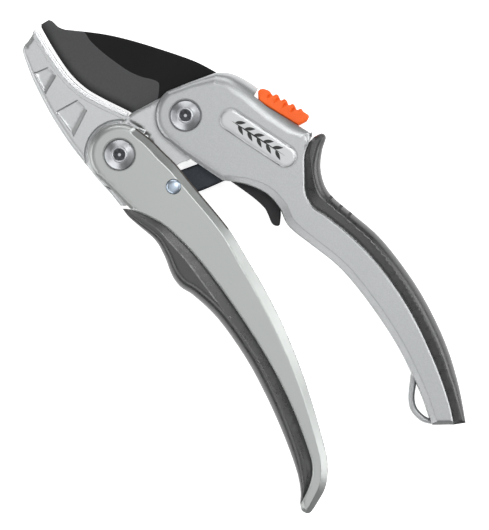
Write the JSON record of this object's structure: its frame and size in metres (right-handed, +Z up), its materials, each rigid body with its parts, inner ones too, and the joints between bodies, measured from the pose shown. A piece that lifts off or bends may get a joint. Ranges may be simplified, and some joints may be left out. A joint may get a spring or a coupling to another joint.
{
  "type": "pruning shears",
  "caption": "Anvil pruning shears with a coated blade, a ratchet pawl link, painted metal handles with moulded grips, a thumb slider and a small trigger.",
  "frame": {"origin": "on the blade pivot's axis at the back face that the shears lie on", "axes": "+Z up through the thickness along the pivots, +Y towards the jaws, +X from the handle pivot to the blade pivot"},
  "size_m": [0.0875, 0.2155, 0.0167],
  "materials": {
    "handle_paint": "satin metallic paint",
    "lower_paint": "smooth satin metallic paint",
    "grip_rubber": "satin soft-touch",
    "badge_silver": "satin silver foil under a clear dome",
    "arm_alloy": "fine bead-blasted",
    "strip_steel": "bright",
    "plain_steel": "satin",
    "bolt_zinc": "zinc plated, turned",
    "bronze": "machined",
    "blade_coating": "matt non-stick coating, ground bevel",
    "spring_steel": "drawn wire",
    "rivet_zinc": "zinc plated",
    "link_black": "matt phosphated",
    "orange_plastic": "satin",
    "trigger_black": "matt"
  },
  "bodies": {
    "frame": {"upper_handle": "handle_paint", "upper_grip": "grip_rubber", "badge": "badge_silver", "anvil_arm": "arm_alloy", "anvil_strip": "strip_steel", "strip_pins": "plain_steel", "pivot_bolt": "bolt_zinc", "pivot_bush": "bronze", "pivot_nut": "bolt_zinc", "blade_washers": "plain_steel", "arm_dowels": "plain_steel", "lock_spring": "spring_steel", "trigger_pin": "plain_steel", "trigger_spring": "spring_steel"},
    "blade": {"blade": "blade_coating"},
    "lower_handle": {"lower_handle": "lower_paint", "lower_grip": "grip_rubber", "handle_bolt": "bolt_zinc", "handle_bush": "bronze", "handle_nut": "bolt_zinc", "opening_spring": "spring_steel", "link_rivet": "rivet_zinc", "link_washers": "plain_steel"},
    "pawl": {"pawl_link": "link_black", "pawl_spring": "spring_steel"},
    "lock": {"lock_slider": "orange_plastic", "lock_bolt": "plain_steel"},
    "trigger": {"trigger": "trigger_black"}
  },
  "joints": [
    {"name": "blade_hinge", "type": "hinge", "parent": "frame", "child": "blade", "pos_m": [0, 0, 0.008], "axis": [0, 0, 1], "range_deg": [-28, 1.2]},
    {"name": "handle_hinge", "type": "hinge", "parent": "frame", "child": "lower_handle", "pos_m": [-0.0295, 0, 0.008], "axis": [0, 0, 1], "range_deg": [0, 14], "stiffness_Nm_per_rad": 0.6, "springref_deg": -34.38},
    {"name": "pawl_hinge", "type": "hinge", "parent": "lower_handle", "child": "pawl", "pos_m": [-0.0179, -0.0212, 0.008], "axis": [0, 0, 1], "range_deg": [-14, 0]},
    {"name": "trigger_hinge", "type": "hinge", "parent": "frame", "child": "trigger", "pos_m": [0.0134, -0.03, 0.008], "axis": [0, 0, 1], "range_deg": [0, 10], "stiffness_Nm_per_rad": 0.05, "springref_deg": -11.46},
    {"name": "lock_slide", "type": "slide", "parent": "frame", "child": "lock", "axis": [0.4756, -0.8797, 0], "range_m": [0, 0.003]}
  ],
  "couplings": [
    {"joint": "pawl_hinge", "follows": "handle_hinge", "ratio": -1}
  ]
}
